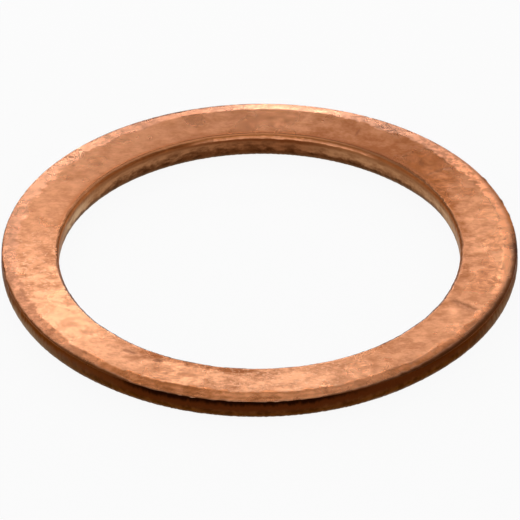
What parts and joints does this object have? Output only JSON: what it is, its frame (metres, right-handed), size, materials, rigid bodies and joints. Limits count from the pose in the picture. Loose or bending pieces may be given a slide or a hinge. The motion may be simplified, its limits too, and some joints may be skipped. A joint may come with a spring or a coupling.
{
  "type": "copper crush washer",
  "caption": "Flat copper ring with a bevelled upper rim, rolled-over lower edges and a clear bore, crushed between a threaded plug and its seat to seal the joint.",
  "frame": {"origin": "centre of the bore, on the lower sealing face", "axes": "+Z along the bore axis, from the lower face with the rolled-over edges to the upper face with the bevelled rim; X and Y lie in the lower face"},
  "size_m": [0.026, 0.026, 0.0015],
  "materials": {
    "copper": "bare rolled copper, satin on the faces, with dark sheared walls"
  },
  "bodies": {
    "root": {"washer": "copper"}
  },
  "joints": []
}
